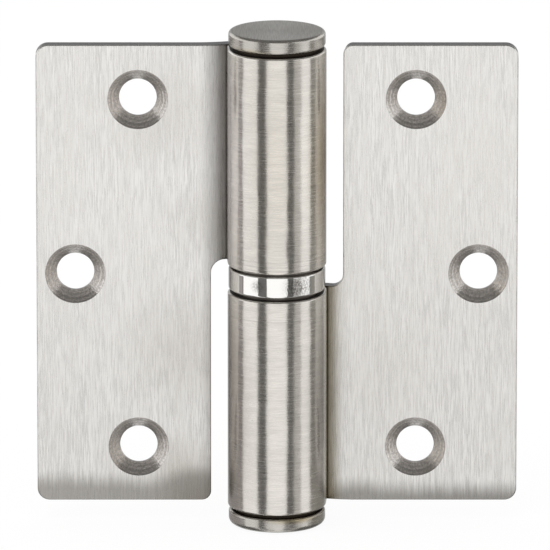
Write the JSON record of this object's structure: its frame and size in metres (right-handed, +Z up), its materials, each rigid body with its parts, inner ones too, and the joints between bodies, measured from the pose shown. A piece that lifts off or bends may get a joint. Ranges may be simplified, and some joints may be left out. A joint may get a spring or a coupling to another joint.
{
  "type": "ball bearing butt hinge",
  "caption": "Flat steel butt hinge opened out: two folded leaves with countersunk holes and rolled knuckles that meet at a polished ball bearing ring, with button caps.",
  "frame": {"origin": "on the pin axis, half way up the bearing, which is the middle of the whole hinge", "axes": "+Z up along the pin, +X from the pin towards the lower leaf's outer edge, +Y towards the door and frame that the leaves screw to; the countersinks face -Y"},
  "size_m": [0.078, 0.016, 0.082],
  "materials": {
    "leaf_steel": "satin brushed stainless, grain along the pin",
    "cap_steel": "turned and satin brushed stainless",
    "ring_steel": "polished stainless",
    "pin_steel": "ground stainless",
    "race_steel": "ground and hardened",
    "ball_steel": "polished",
    "cage_brass": "stamped"
  },
  "bodies": {
    "lower_half": {"lower_leaf": "leaf_steel", "hinge_pin": "pin_steel", "bottom_cap": "cap_steel", "bearing_lower_race": "race_steel", "bearing_shell": "ring_steel"},
    "upper_race": {"bearing_upper_race": "race_steel"},
    "upper_half": {"upper_leaf": "leaf_steel", "top_cap": "cap_steel"},
    "ball_set": {"ball_cage": "cage_brass", "ball_01": "ball_steel", "ball_02": "ball_steel", "ball_03": "ball_steel", "ball_04": "ball_steel", "ball_05": "ball_steel", "ball_06": "ball_steel", "ball_07": "ball_steel", "ball_08": "ball_steel", "ball_09": "ball_steel", "ball_10": "ball_steel", "ball_11": "ball_steel"}
  },
  "joints": [
    {"name": "leaf_swing", "type": "hinge", "parent": "lower_half", "child": "upper_race", "pos_m": [0, 0, 0], "axis": [0, 0, 1], "range_deg": [-125, 180]},
    {"name": "lift_off", "type": "slide", "parent": "upper_race", "child": "upper_half", "axis": [0, 0, 1], "range_m": [0, 0.08]},
    {"name": "cage_orbit", "type": "hinge", "parent": "lower_half", "child": "ball_set", "pos_m": [0, 0, 0], "axis": [0, 0, 1], "range_deg": [-62.5, 90]}
  ],
  "couplings": [
    {"joint": "cage_orbit", "follows": "leaf_swing", "ratio": 0.5}
  ]
}
